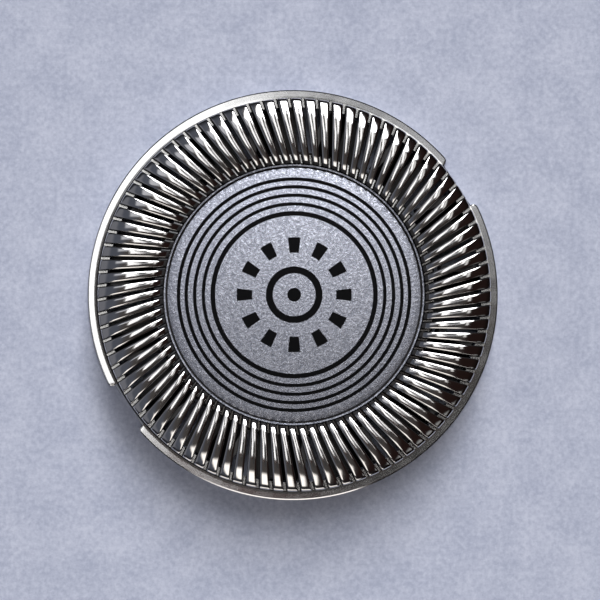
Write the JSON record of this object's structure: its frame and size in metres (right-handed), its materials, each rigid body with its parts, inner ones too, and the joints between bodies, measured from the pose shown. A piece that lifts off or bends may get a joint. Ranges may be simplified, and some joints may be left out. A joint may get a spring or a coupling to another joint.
{
  "type": "rotary shaver head",
  "caption": "Round shaver head: a slotted steel guard with a keyed flange and a centre cover, over a cutter that spins on a pin.",
  "frame": {"origin": "on the axis, in the plane of the flange's underside, which the head stands on", "axes": "+Z along the axis, out through the shaving track; +X across the flange where it is whole, with the notches 34 degrees anticlockwise from +X and from -X"},
  "size_m": [0.024, 0.024, 0.0044],
  "materials": {
    "guard_steel": "ground and polished",
    "cover_steel": "satin, with printed rings",
    "bush_plastic": "moulded",
    "carrier_plastic": "moulded",
    "blade_steel": "stamped and ground",
    "spring_steel": "rolled"
  },
  "bodies": {
    "guard": {"guard": "guard_steel", "centre_cover": "cover_steel", "bearing_bush": "bush_plastic"},
    "cutter": {"carrier": "carrier_plastic", "blade_ring": "blade_steel", "lifter_star": "spring_steel"}
  },
  "joints": [
    {"name": "cutter_spin", "type": "hinge", "parent": "guard", "child": "cutter", "pos_m": [0, 0, 0.002], "axis": [0, 0, 1], "continuous": true}
  ]
}
